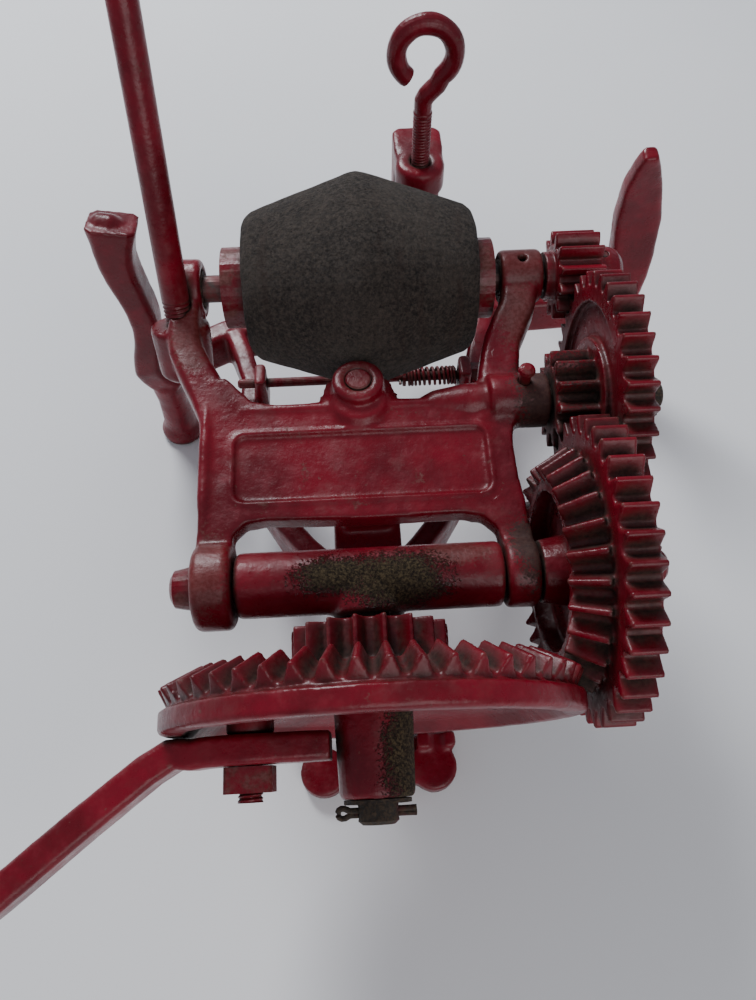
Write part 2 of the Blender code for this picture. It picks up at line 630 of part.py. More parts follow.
grip_profile += [(4.05, HANDLE_R + GAP)]
wood_grip = turned((0, 0, 0), (0, 0, 1), grip_profile, 24, ring=True)
make("wood_grip", grip, [wood_grip], WOOD_LOOK)

# ---------------------------------------------------------------- compound gear
spur_line = atan2(STUD_Z - HINGE_Z, STUD_Y)


def compound_place(radius, angle, height):
    return along_x(CRANK_X + height, radius, angle)


bevel_line = pi + CRANK_TILT
bevel_phase = bevel_line + pi / BEVEL_TEETH
spur_wheel = spur_x(SPUR_TEETH, PITCH_A, SPUR_PHASE, SPUR_X)
compound_gear = make("compound_gear", compound, [spur_wheel], PAINTED)
cone_teeth = bevel_teeth(BEVEL_TEETH, CRANK_TEETH, bevel_phase, CONE_FACE, compound_place)
HUB_X = RIGHT_EAR_X[1] + GAP + 0.03
cup_steps = [
    (2.70, 1.30), (2.705, 1.425), (3.26, 1.70), (3.30, 1.72), (3.30, SHAFT_R + 0.04),
    (HUB_X, SHAFT_R + 0.04), (HUB_X, 0.50), (3.02, 0.58), (3.02, 1.26),
]
cup = turned_x(cup_steps, 28, ring=True)
right_hub = bar((3.70, 0, 0), (4.10, 0, 0), 0.46, 24, 0.04)
combine(compound_gear, [cone_teeth, cup, right_hub], "bevel", "UNION")
shaft_bore = bar((2, 0, 0), (5, 0, 0), SHAFT_R + GAP, 24)
recess = washer((3.52, 0, 0), (3.90, 0, 0), 0.80, 1.92, 28)
combine(compound_gear, [shaft_bore, recess], "bores", "DIFFERENCE")

# ---------------------------------------------------------------- intermediate gear
stud_phase = meshed(SPUR_TEETH, SPUR_PHASE, spur_line, PINION_TEETH)
inter_wheel = spur_x(INTER_TEETH, PITCH_B, INTER_PHASE, INTER_X)
intermediate_gear = make("intermediate_gear", middle, [inter_wheel], PAINTED)
small_pinion = spur_x(PINION_TEETH, PITCH_A, stud_phase, PINION_X, FINE)
inter_hub = bar((4.20, 0, 0), (4.72, 0, 0), 0.38, 24, 0.04)
combine(intermediate_gear, [small_pinion, inter_hub], "pinion_and_hub", "UNION")
dish = washer((4.19, 0, 0), (4.60, 0, 0), 0.56, 1.66, 28)
stud_bore = bar((2, 0, 0), (6, 0, 0), SHAFT_R + GAP, 24)
dish_left = washer((3.5, 0, 0), (3.93, 0, 0), 1.06, 1.66, 28)
combine(intermediate_gear, [dish, dish_left, stud_bore], "dish_and_bore", "DIFFERENCE")

# ---------------------------------------------------------------- stone and its shaft
stone_line = atan2(STONE_Z - STUD_Z, STONE_Y - STUD_Y)
stone_phase = meshed(INTER_TEETH, INTER_PHASE, stone_line, PINION_TEETH)
half = STONE_HALF
stone_steps = [
    (-half, SHAFT_R + GAP), (-half, STONE_END_R - 0.12), (-half + 0.05, STONE_END_R - 0.02),
    (-half + 0.16, STONE_END_R + 0.07), (-0.16, STONE_R - 0.03), (0.0, STONE_R),
    (0.16, STONE_R - 0.03), (half - 0.16, STONE_END_R + 0.07), (half - 0.05, STONE_END_R - 0.02),
    (half, STONE_END_R - 0.12), (half, SHAFT_R + GAP),
]
stone_body = turned_x([(x + STONE_X, r) for x, r in stone_steps], 40, ring=True)
make("grindstone", stone, [stone_body], STONE_LOOK, crease=50.0)
SHAFT_LEFT = -3.60
SHAFT_RIGHT = 4.66
stone_shaft_steps = [(SHAFT_LEFT, SHAFT_R - 0.04), (SHAFT_LEFT + 0.04, SHAFT_R)]
stone_shaft_steps += [(SHAFT_RIGHT - 0.04, SHAFT_R), (SHAFT_RIGHT, SHAFT_R - 0.04)]
stone_shaft = make("stone_shaft", stone, [turned_x(stone_shaft_steps, 24)], BARE)
flange_r = 0.74
left_flange_x = STONE_X - half - GAP
left_flange = washer((left_flange_x - 0.42, 0, 0), (left_flange_x, 0, 0), SHAFT_R + GAP, flange_r, 32)
make("left_flange", stone, [left_flange], PAINTED)
right_flange_x = STONE_X + half + GAP
right_flange = washer((right_flange_x, 0, 0), (right_flange_x + 0.34, 0, 0), SHAFT_R + GAP, flange_r, 32)
make("right_flange", stone, [right_flange], PAINTED)
stone_wheel = spur_x(PINION_TEETH, PITCH_B, stone_phase, (3.60, 4.42), FINE)
stone_pinion = make("stone_pinion", stone, [stone_wheel], PAINTED)
collar_shape = bar((3.42, 0, 0), (3.64, 0, 0), 0.44, 24)
dome_steps = [(4.38, 0.50), (4.62, 0.50), (4.78, 0.44), (4.88, 0.32), (4.92, 0.16)]
combine(stone_pinion, [collar_shape, turned_x(dome_steps, 28)], "collar_and_dome", "UNION")
blind_bore = bar((3.0, 0, 0), (SHAFT_RIGHT + 0.04, 0, 0), SHAFT_R + GAP, 24)
CROSS_PIN_X = 4.50
CROSS_PIN_R = 0.07
cross_hole = bar((CROSS_PIN_X, 0, -1), (CROSS_PIN_X, 0, 1), CROSS_PIN_R + GAP, 12)
combine(stone_pinion, [blind_bore, cross_hole], "bores", "DIFFERENCE")

shaft_cross = bar((CROSS_PIN_X, 0, -1), (CROSS_PIN_X, 0, 1), CROSS_PIN_R + GAP, 12)
combine(stone_shaft, [shaft_cross], "pin_hole", "DIFFERENCE")
cross_pin = bar((CROSS_PIN_X, 0, -0.48), (CROSS_PIN_X, 0, 0.48), CROSS_PIN_R, 12)
make("pinion_cross_pin", stone, [cross_pin], BARE)

# ---------------------------------------------------------------- head casting
slope = atan2(STONE_Z - HINGE_Z, STONE_Y)
u_dir = Vector((0, cos(slope), sin(slope)))
n_dir = Vector((0, -sin(slope), cos(slope)))


def on_head(x, t, w):
    """A point of the head: x, distance from the hinge, height above the shaft plane."""
    return Vector((x, 0, 0)) + u_dir * t + n_dir * w


PLATE_TOP = 0.27
PLATE_LOW = -0.16
stud_at = Vector((0, STUD_Y, STUD_Z - HINGE_Z))
stone_at = Vector((0, STONE_Y, STONE_Z - HINGE_Z))
plate_outline = [
    (-2.92, 0.45), (-2.33, 0.45), (-2.33, 0.78), (-2.14, 0.97), (-1.80, 1.02), (-0.10, 0.96),
    (1.40, 0.99), (1.74, 0.92), (1.95, 0.70), (1.99, 0.45), (2.50, 0.45), (2.50, 0.62),
    (2.46, 0.80), (2.46, 1.15), (2.40, 1.60), (2.38, 2.24), (2.48, 2.90),
    (2.48, 3.55), (1.95, 3.52), (1.72, 3.30), (1.20, 3.16),
    (0.45, 3.18), (0.22, 3.40), (-0.60, 3.40), (-0.84, 3.18), (-1.50, 3.12), (-2.05, 3.26),
    (-2.50, 3.75), (-3.05, 3.60), (-2.96, 3.00), (-2.86, 2.20), (-2.90, 1.20),
]
plate = loft([[on_head(x, t, w) for x, t in plate_outline] for w in (PLATE_LOW, PLATE_TOP)])
head_frame = make("head_frame", head, [plate], PAINTED)
rod_lean = radians(24.5)
rod_dir = Vector((0, sin(rod_lean), cos(rod_lean)))
ROD_X = -3.42
rod_boss_top = Vector((ROD_X, 5.09, 0.58))
rod_boss_low = rod_boss_top - rod_dir * 1.05
boss_steps = [(0, 0.36), (0.12, 0.50), (1.00, 0.55), (1.05, 0.52)]
BOSS_X = -0.19
BOSS_Y = 3.36
boss_low = (BOSS_X, BOSS_Y, 0.20)
boss_high = (BOSS_X, BOSS_Y, 0.92)
left_bearing = bar((-3.50, STONE_Y, stone_at.z), (-2.98, STONE_Y, stone_at.z), 0.56, 20, 0.05)
right_bearing = bar((2.56, STONE_Y, stone_at.z), (3.36, STONE_Y, stone_at.z), 0.50, 20, 0.05)
left_arm = [(-2.55, 2.70, 0.36), (-2.86, 3.55, 0.42), (-3.25, 4.40, 0.45), (-3.30, 5.00, 0.56)]
left_arm += [(-3.26, 5.60, 0.66)]
left_arm_sizes = [(0.60, 0.42), (0.66, 0.55), (0.62, 0.70), (0.55, 0.72), (0.50, 0.70)]
right_arm = [(2.15, 2.60, 0.40), (2.28, 3.45, 0.46), (2.46, 4.30, 0.52), (2.80, 5.00, 0.60)]
right_arm += [(2.95, 5.65, 0.68)]
right_arm_sizes = [(0.70, 0.44), (0.74, 0.55), (0.66, 0.60), (0.66, 0.62), (0.72, 0.62)]
head_parts = [
    bar((LEFT_EAR_X[0], 0, 0), (LEFT_EAR_X[1], 0, 0), 0.70, 20, 0.08),
    bar((RIGHT_EAR_X[0], 0, 0), (RIGHT_EAR_X[1], 0, 0), 0.56, 20, 0.05),
    bar((2.05, STUD_Y, stud_at.z), (3.09, STUD_Y, stud_at.z), 0.48, 20, 0.04),
    bar(boss_low, boss_high, 0.46, 20, 0.05),
    turned(rod_boss_low, rod_boss_top, boss_steps, 20),
    left_bearing,
    right_bearing,
    sweep(left_arm, left_arm_sizes),
    sweep(right_arm, right_arm_sizes),
]
combine(head_frame, head_parts, "bosses", "UNION")
panel_outline = [
    (-2.40, 1.35), (-2.20, 1.22), (1.75, 1.22), (1.98, 1.40), (2.02, 2.55), (1.80, 2.72),
    (-2.20, 2.62), (-2.42, 2.45),
]
panel = loft([[on_head(x, t, w) for x, t in panel_outline] for w in (PLATE_TOP - 0.06, 1.0)])
BUSH_R = 0.34
head_cuts = [
    panel,
    bar((-4, 0, 0), (4, 0, 0), SHAFT_R + GAP, 24),
    bar((1.2, STUD_Y, stud_at.z), (4, STUD_Y, stud_at.z), SHAFT_R + GAP, 24),
    bar((-4, STONE_Y, stone_at.z), (4, STONE_Y, stone_at.z), BUSH_R + GAP, 20),
    bar((BOSS_X, BOSS_Y, -1), (BOSS_X, BOSS_Y, 2), 0.22 + GAP, 16),
    bar(rod_boss_top - rod_dir * 0.80, rod_boss_top + rod_dir, 0.25 + GAP, 20),
    bar((2.97, STONE_Y, stone_at.z), (2.97, STONE_Y, stone_at.z + 1), 0.085, 12),
    bar((2.66, STUD_Y + 0.10, stud_at.z), (2.66, STUD_Y + 0.10, stud_at.z + 1), 0.10 + GAP, 12),
]
combine(head_frame, head_cuts, "holes", "DIFFERENCE")

# bushes of the stone shaft
left_bush = washer((-3.50, 0, 0), (-2.98, 0, 0), SHAFT_R + GAP, BUSH_R, 24)
right_bush = washer((2.56, 0, 0), (3.36, 0, 0), SHAFT_R + GAP, BUSH_R, 24)
stone_seat = pivot("stone_bearing_axis", (0, STONE_Y, STONE_Z))
stone_seat.parent = head
stone_seat.location = stone_at * INCH
make("left_bearing_bush", stone_seat, [left_bush], GREASY)
make("right_bearing_bush", stone_seat, [right_bush], GREASY)

# centre pin with its lower washer and riveted ends
pin_top = (BOSS_X, BOSS_Y, 0.92 + 0.01)
pin_low_z = -0.62
pin_length = pin_top[2] - pin_low_z
centre_steps = [(0, 0.18), (0.03, 0.22), (pin_length - 0.02, 0.22), (pin_length, 0.19)]
centre_low = (BOSS_X, BOSS_Y, pin_low_z)
centre_pin = make("centre_pin", head, [turned(centre_low, pin_top, centre_steps, 20)], PAINTED)

# handle rod screwed into the left boss
ROD_LENGTH = 13.5
rod_start = rod_boss_top - rod_dir * (0.80 - GAP)
rod_end = [(ROD_LENGTH - 0.12, 0.25), (ROD_LENGTH - 0.03, 0.20), (ROD_LENGTH, 0.10)]
rod_profile = [(0, 0.20), (0.05, 0.25)] + rod_end
make("handle_rod", head, [turned(rod_start, rod_start + rod_dir, rod_profile, 24)], PAINTED)

# fixed stud of the intermediate gear
stud_pivot = pivot("gear_stud_seat", (0, 0, 0))
stud_pivot.parent = head
stud_pivot.location = stud_at * INCH
gear_stud_steps = [(1.9, SHAFT_R - 0.04), (1.94, SHAFT_R), (5.06, SHAFT_R), (5.10, SHAFT_R - 0.04)]
gear_stud = make("gear_stud", stud_pivot, [turned_x(gear_stud_steps, 24)], GREASY)
stud_pin_x = 4.95
stud_cuts = [bar((stud_pin_x, -1, -0.3), (stud_pin_x, 1, 0.3), COTTER_R + GAP, 12)]
combine(gear_stud, stud_cuts, "cotter_hole", "DIFFERENCE")
lock_steps = [(0, 0.085), (0.02, 0.10), (0.44, 0.10), (0.44, 0.15), (0.50, 0.13), (0.54, 0.06)]
lock_low = (2.66, 0.10, SHAFT_R + GAP)
make("stud_lock_pin", stud_pivot, [turned(lock_low, (2.66, 0.10, 2), lock_steps, 16)], PAINTED)
cotter("gear_stud_cotter", stud_pivot, (stud_pin_x, 0, 0), (0, 1, 0.3), 0.36, GREASY)
stud_washer = washer((4.72 + GAP, 0, 0), (4.82, 0, 0), SHAFT_R + GAP, 0.40)
make("gear_stud_washer", stud_pivot, [stud_washer], GREASY)
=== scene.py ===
"""Looks of the hand-cranked mower-knife grinder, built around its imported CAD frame."""
import json
from math import cos, pi, radians, sin

import bmesh
import bpy
from mathutils import Matrix, Vector, noise


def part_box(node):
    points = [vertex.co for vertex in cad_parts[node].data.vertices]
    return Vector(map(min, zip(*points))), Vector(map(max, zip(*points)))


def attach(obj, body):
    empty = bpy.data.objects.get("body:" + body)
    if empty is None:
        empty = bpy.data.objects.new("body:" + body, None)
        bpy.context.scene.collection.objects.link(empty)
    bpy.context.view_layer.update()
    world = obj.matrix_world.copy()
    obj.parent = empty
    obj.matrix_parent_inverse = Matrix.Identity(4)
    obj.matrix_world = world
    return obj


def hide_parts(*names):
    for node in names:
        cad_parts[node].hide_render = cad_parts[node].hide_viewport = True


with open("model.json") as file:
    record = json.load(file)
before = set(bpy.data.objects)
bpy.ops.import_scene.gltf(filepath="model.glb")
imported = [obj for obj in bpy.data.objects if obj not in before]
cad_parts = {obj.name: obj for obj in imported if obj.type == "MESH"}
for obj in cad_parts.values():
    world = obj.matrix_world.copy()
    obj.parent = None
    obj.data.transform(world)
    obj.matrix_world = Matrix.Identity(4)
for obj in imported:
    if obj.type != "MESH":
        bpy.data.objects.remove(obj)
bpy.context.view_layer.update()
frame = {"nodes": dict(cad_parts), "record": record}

INCH = 0.0254
NODES = frame["nodes"]
BODY_OF = {n: b for b, members in frame["record"]["behaviour"]["bodies"].items() for n in members}

# places of the shafts, in inches, as in the CAD
HINGE_Z = 5.70
STUD = (3.075, 6.155)
STONE = (5.83, 6.40)
CRANK_X = -0.21
CRANK_TILT = radians(11.0)
CLAMP = (1.28, 8.47)
HUB_OUT = Vector((0, -cos(CRANK_TILT), -sin(CRANK_TILT)))


def inch(*v):
    return Vector(v) * INCH


# ---------------------------------------------------------------- shader helpers
class Shader:
    """A small writer for one material's nodes."""

    def __init__(self, name):
        self.material = bpy.data.materials.new(name)
        self.material.use_nodes = True
        self.tree = self.material.node_tree
        self.tree.nodes.clear()
        self.out = self.tree.nodes.new("ShaderNodeOutputMaterial")
        self.bsdf = self.tree.nodes.new("ShaderNodeBsdfPrincipled")
        self.tree.links.new(self.bsdf.outputs[0], self.out.inputs["Surface"])
        coords = self.tree.nodes.new("ShaderNodeTexCoord")
        self.place = coords.outputs["Object"]
        self.geometry = self.tree.nodes.new("ShaderNodeNewGeometry")

    def put(self, socket, value):
        if isinstance(value, bpy.types.NodeSocket):
            self.tree.links.new(value, socket)
        elif value is not None:
            socket.default_value = value

    def noise(self, scale, detail=4.0, rough=0.55, warp=0.0, vector=None):
        n = self.tree.nodes.new("ShaderNodeTexNoise")
        self.put(n.inputs["Vector"], vector or self.place)
        n.inputs["Scale"].default_value = scale
        n.inputs["Detail"].default_value = detail
        n.inputs["Roughness"].default_value = rough
        n.inputs["Distortion"].default_value = warp
        return n.outputs["Fac"]

    def cells(self, scale):
        n = self.tree.nodes.new("ShaderNodeTexVoronoi")
        self.put(n.inputs["Vector"], self.place)
        n.inputs["Scale"].default_value = scale
        return n.outputs["Distance"]

    def math(self, kind, a, b=None, clamp=False):
        n = self.tree.nodes.new("ShaderNodeMath")
        n.operation = kind
        n.use_clamp = clamp
        self.put(n.inputs[0], a)
        self.put(n.inputs[1], b)
        return n.outputs[0]

    def step(self, value, low, high, to_low=0.0, to_high=1.0):
        """A soft step from to_low at low to to_high at high."""
        n = self.tree.nodes.new("ShaderNodeMapRange")
        n.interpolation_type = "SMOOTHSTEP"
        self.put(n.inputs["Value"], value)
        n.inputs["From Min"].default_value = low
        n.inputs["From Max"].default_value = high
        n.inputs["To Min"].default_value = to_low
        n.inputs["To Max"].default_value = to_high
        return n.outputs["Result"]

    def mix(self, amount, a, b):
        """Blend two colours; each is a node's output or three numbers."""
        n = self.tree.nodes.new("ShaderNodeMix")
        n.data_type = "RGBA"
        self.put(n.inputs[0], amount)
        self.put(n.inputs[6], a if isinstance(a, bpy.types.NodeSocket) else (*a, 1.0))
        self.put(n.inputs[7], b if isinstance(b, bpy.types.NodeSocket) else (*b, 1.0))
        return n.outputs[2]

    def stretched(self, x, y, z):
        n = self.tree.nodes.new("ShaderNodeMapping")
        self.put(n.inputs["Vector"], self.place)
        n.inputs["Scale"].default_value = (x, y, z)
        return n.outputs["Vector"]

    def near(self, centre, radius, ragged, scale):
        """A ragged patch round a place given in inches, from 1 inside to 0 outside."""
        shift = self.tree.nodes.new("ShaderNodeVectorMath")
        shift.operation = "SUBTRACT"
        self.put(shift.inputs[0], self.place)
        shift.inputs[1].default_value = inch(*centre)
        scaled = self.tree.nodes.new("ShaderNodeVectorMath")
        scaled.operation = "DIVIDE"
        self.put(scaled.inputs[0], shift.outputs[0])
        scaled.inputs[1].default_value = inch(*radius)
        length = self.tree.nodes.new("ShaderNodeVectorMath")
        length.operation = "LENGTH"
        self.put(length.inputs[0], scaled.outputs[0])
        rim = self.math("SUBTRACT", self.noise(scale, 9.0, 0.78), 0.5)
        crumb = self.math("SUBTRACT", self.noise(scale * 8.0, 3.0, 0.6), 0.5)
        rim = self.math("MULTIPLY", rim, ragged * 3)
        wobble = self.math("ADD", rim, self.math("MULTIPLY", crumb, 1.5))
        return self.step(self.math("ADD", length.outputs["Value"], wobble), 1.25, 0.75)

    def occlusion_shade(self, reach):
        """Ambient-occlusion mask for painted shade: 1 in corners and between teeth, 0 in the open."""
        n = self.tree.nodes.new("ShaderNodeAmbientOcclusion")
        n.samples = 6
        n.inputs["Distance"].default_value = reach
        return self.step(n.outputs["AO"], 0.95, 0.45)

    def edge(self, low, high):
        return self.step(self.geometry.outputs["Pointiness"], low, high)

    def bump(self, height, strength, distance, normal=None):
        n = self.tree.nodes.new("ShaderNodeBump")
        n.inputs["Strength"].default_value = strength
        n.inputs["Distance"].default_value = distance
        self.put(n.inputs["Height"], height)
        self.put(n.inputs["Normal"], normal)
        return n.outputs["Normal"]

    def finish(self, colour, rough, normal=None, metallic=0.0):
        self.put(self.bsdf.inputs["Base Color"], colour)
        self.put(self.bsdf.inputs["Roughness"], rough)
        self.put(self.bsdf.inputs["Normal"], normal)
        self.put(self.bsdf.inputs["Metallic"], metallic)
        return self.material


CRIMSON = (0.200, 0.0022, 0.013)
DEEP = (0.105, 0.0018, 0.007)
ROSE = (0.245, 0.013, 0.028)
RUST = (0.085, 0.028, 0.018)
GRIME_AND_SHADE = (0.020, 0.012, 0.009)
DUST = (0.150, 0.062, 0.052)
CHAFF = (0.135, 0.096, 0.048)
CHAFF_DARK = (0.016, 0.010, 0.006)


def red_paint(name, wear=1.0, shade_and_grime_strength=1.0, chaff=(), bare=(), grease=(), reach=0.006):
    """Old crimson paint on rough iron: faded, chipped at the edges, greasy, with grime and painted shade
    darkening the corners.
    """
    s = Shader(name)
    s.bsdf.inputs["Specular IOR Level"].default_value = 0.36
    broad = s.noise(26.0, 5.0, 0.6)
    middle = s.noise(130.0, 6.0, 0.65)
    fine = s.noise(620.0, 4.0, 0.6)
    colour = s.mix(s.step(broad, 0.35, 0.68), DEEP, CRIMSON)
    colour = s.mix(s.math("MULTIPLY", s.step(middle, 0.50, 0.74), 0.35), colour, ROSE)
    up = s.tree.nodes.new("ShaderNodeSeparateXYZ")
    s.put(up.inputs[0], s.geometry.outputs["Normal"])
    settled = s.step(s.noise(55.0, 7.0, 0.7), 0.50, 0.72)
    dusty = s.math("MULTIPLY", s.step(up.outputs["Z"], 0.2, 1.0), settled)
    colour = s.mix(s.math("MULTIPLY", dusty, 0.15 * wear), colour, DUST)
    chip = s.math("MULTIPLY", s.edge(0.515, 0.60), s.step(middle, 0.44, 0.60))
    speck = s.step(s.noise(240.0, 5.0, 0.7), 0.66, 0.70)
    worn = s.math("MAXIMUM", s.math("MULTIPLY", chip, 0.75 * wear), s.math("MULTIPLY", speck, 0.55 * wear))
    blotch = s.step(s.noise(78.0, 9.0, 0.78), 0.60, 0.66)
    worn = s.math("MAXIMUM", worn, s.math("MULTIPLY", blotch, 0.50 * wear))
    for centre, radius in bare:
        worn = s.math("MAXIMUM", worn, s.math("MULTIPLY", s.near(centre, radius, 0.6, 90.0), 0.50))
    colour = s.mix(worn, colour, s.mix(s.step(fine, 0.4, 0.6), RUST, DUST))
    # grime and painted shade: the colour goes dark where ambient occlusion finds corners and gaps between
    # teeth, and in the grease patches
    grime_and_painted_shade = s.math("MULTIPLY", s.occlusion_shade(reach), s.step(middle, 0.25, 0.60, 0.45, 1.0))
    grime_and_painted_shade = s.math("MULTIPLY", grime_and_painted_shade, 0.88 * shade_and_grime_strength, clamp=True)
    for centre, radius in grease:
        grime_and_painted_shade = s.math("MAXIMUM", grime_and_painted_shade, s.math("MULTIPLY", s.near(centre, radius, 0.45, 120.0), 0.86))
    colour = s.mix(grime_and_painted_shade, colour, s.mix(s.step(fine, 0.35, 0.65), GRIME_AND_SHADE, (0.045, 0.026, 0.018)))
    lumps = s.noise(75.0, 4.0, 0.5)
    cast = s.noise(330.0, 5.0, 0.6)
    normal = s.bump(lumps, 0.35, 0.0016)
    normal = s.bump(cast, 0.34, 0.0007, normal)
    rough = s.step(s.math("ADD", middle, s.math("MULTIPLY", dusty, 0.4)), 0.30, 0.85, 0.24, 0.48)
    rough = s.math("MAXIMUM", rough, s.math("MULTIPLY", s.math("MAXIMUM", worn, grime_and_painted_shade), 0.78))
    if chaff:
        crumbs = s.noise(950.0, 6.0, 0.75, 0.6)
        pile = None
        for centre, radius in chaff:
            here = s.near(centre, radius, 0.62, 130.0)
            pile = here if pile is None else s.math("MAXIMUM", pile, here)
        colour = s.mix(pile, colour, s.mix(s.step(crumbs, 0.42, 0.62), CHAFF_DARK, CHAFF))
        rough = s.math("MAXIMUM", rough, pile)
        normal = s.bump(s.math("MULTIPLY", pile, s.math("ADD", crumbs, 0.4)), 1.0, 0.0016, normal)
    return s.finish(colour, rough, normal)


def old_steel(name, tint=(0.115, 0.098, 0.090), stain=(0.16, 0.030, 0.030)):
    s = Shader(name)
    streak = s.noise(420.0, 4.0, 0.6, vector=s.stretched(0.15, 1.0, 1.0))
    patch = s.noise(110.0, 5.0, 0.65)
    colour = s.mix(s.step(patch, 0.40, 0.62), tint, stain)
    # painted shade: the steel colour goes dark where ambient occlusion finds corners
    colour = s.mix(s.math("MULTIPLY", s.occlusion_shade(0.004), 0.85), colour, GRIME_AND_SHADE)
    normal = s.bump(streak, 0.25, 0.0004)
    rough = s.step(patch, 0.3, 0.7, 0.34, 0.66)
    return s.finish(colour, rough, normal, s.step(patch, 0.42, 0.60, 0.85, 0.1))


def greasy_iron(name):
    s = Shader(name)
    crumbs = s.noise(800.0, 6.0, 0.7, 0.5)
    patch = s.noise(90.0, 5.0, 0.65)
    colour = s.mix(s.step(crumbs, 0.42, 0.62), (0.018, 0.012, 0.008), (0.078, 0.050, 0.030))
    colour = s.mix(s.math("MULTIPLY", s.step(patch, 0.55, 0.68), 0.8), colour, (0.085, 0.016, 0.018))
    return s.finish(colour, s.step(crumbs, 0.3, 0.7, 0.55, 0.92), s.bump(crumbs, 0.9, 0.0009), 0.1)


def grit(name):
    """Vitrified abrasive: mottled brown-black grains, a few pale sparks, pits and brown dust."""
    s = Shader(name)
    grains = s.cells(760.0)
    small = s.cells(1500.0)
    broad = s.noise(34.0, 6.0, 0.62)
    band = s.noise(60.0, 5.0, 0.6, vector=s.stretched(2.2, 0.35, 0.35))
    mottle = s.noise(560.0, 8.0, 0.82)
    colour = s.mix(s.step(mottle, 0.38, 0.62), (0.016, 0.011, 0.008), (0.110, 0.083, 0.065))
    colour = s.mix(s.math("MULTIPLY", s.step(broad, 0.45, 0.70), 0.45), colour, (0.125, 0.098, 0.078))
    colour = s.mix(s.math("MULTIPLY", s.step(band, 0.52, 0.70), 0.5), colour, (0.062, 0.034, 0.024))
    spark = s.math("MULTIPLY", s.step(small, 0.06, 0.02), s.step(broad, 0.50, 0.60))
    colour = s.mix(spark, colour, (0.110, 0.088, 0.068))
    pits = s.step(s.cells(300.0), 0.20, 0.06)
    colour = s.mix(s.math("MULTIPLY", pits, 0.8), colour, (0.010, 0.008, 0.007))
    normal = s.bump(grains, 1.0, 0.0018)
    normal = s.bump(s.noise(300.0, 7.0, 0.78), 1.0, 0.0040, normal)
    normal = s.bump(s.math("MULTIPLY", pits, -1.0), 0.8, 0.0012, normal)
    return s.finish(colour, 0.93, normal)


def old_wood(name):
    s = Shader(name)
    grain = s.noise(95.0, 7.0, 0.6, 1.2, vector=s.stretched(6.0, 0.55, 6.0))
    pores = s.noise(520.0, 3.0, 0.5, vector=s.stretched(5.0, 0.35, 5.0))
    colour = s.mix(s.step(grain, 0.34, 0.66), (0.110, 0.050, 0.022), (0.245, 0.130, 0.062))
    colour = s.mix(s.math("MULTIPLY", s.step(pores, 0.56, 0.66), 0.7), colour, (0.045, 0.022, 0.012))
    stain = s.math("MULTIPLY", s.step(s.noise(40.0, 5.0), 0.55, 0.7), 0.6)
    colour = s.mix(stain, colour, (0.060, 0.035, 0.022))
    normal = s.bump(grain, 0.35, 0.0005)
    normal = s.bump(pores, 0.5, 0.0003, normal)
    return s.finish(colour, s.step(grain, 0.3, 0.7, 0.42, 0.62), normal)


# ---------------------------------------------------------------- mesh helpers
def add_mesh(name, shape):
    mesh = bpy.data.meshes.new(name)
    shape.to_mesh(mesh)
    shape.free()
    item = bpy.data.objects.new(name, mesh)
    bpy.context.scene.collection.objects.link(item)
    return item


def bake(item):
    """Apply the piece's modifiers to its mesh."""
    graph = bpy.context.evaluated_depsgraph_get()
    mesh = bpy.data.meshes.new_from_object(item.evaluated_get(graph))
    item.modifiers.clear()
    item.data = mesh
    return item


def skin(loops, closed=False):
    """A body skinned over loops of points, capped at both ends unless it closes on itself."""
    shape = bmesh.new()
    rows = [[shape.verts.new(p) for p in loop] for loop in loops]
    count = len(rows[0])
    pairs = list(zip(rows, rows[1:]))
    if closed:
        pairs.append((rows[-1], rows[0]))
    for a, b in pairs:
        for i in range(count):
            j = (i + 1) % count
            shape.faces.new((a[i], a[j], b[j], b[i]))
    if not closed:
        shape.faces.new(rows[0])
        shape.faces.new(rows[-1])
    bmesh.ops.recalc_face_normals(shape, faces=shape.faces)
    return shape


def lathe(start, direction, profile, segments):
    """A turned solid along a line. Profile points are (distance, radius), in inches."""
    axis = Vector(direction).normalized()
    side = axis.orthogonal().normalized()
    other = axis.cross(side)
    loops = []
    for along, radius in profile:
        middle = Vector(start) + axis * along
        loop = []
        for i in range(segments):
            angle = 2 * pi * i / segments
            loop.append((middle + radius * (cos(angle) * side + sin(angle) * other)) * INCH)
        loops.append(loop)
    return skin(loops)


def hoop(centre, direction, profile, segments):
    """A ring round a line, its section given as (distance, radius) in inches."""
    axis = Vector(direction).normalized()
    side = axis.orthogonal().normalized()
    other = axis.cross(side)
    loops = []
    for i in range(segments):
        angle = 2 * pi * i / segments
        out = cos(angle) * side + sin(angle) * other
        loops.append([(Vector(centre) + axis * along + out * radius) * INCH for along, radius in profile])
    return skin(loops, closed=True)


def tube(points, radius, sides=12, closed=False):
    """A round bar along points in inches. Radius is a number or one number per point."""
    points = [Vector(p) for p in points]
    count = len(points)
    loops = []
    side = None
    for k, p in enumerate(points):
        before = points[(k - 1) % count] if closed or k else p
        after = points[(k + 1) % count] if closed or k < count - 1 else p
        ahead = (after - before).normalized()
        side = ahead.orthogonal().normalized() if side is None else side
        side = (side - ahead * side.dot(ahead)).normalized()
        up = ahead.cross(side)
        r = radius[k] if isinstance(radius, (list, tuple)) else radius
        angles = [2 * pi * i / sides for i in range(sides)]
        loops.append([(p + r * (cos(a) * side + sin(a) * up)) * INCH for a in angles])
    return skin(loops, closed=closed)


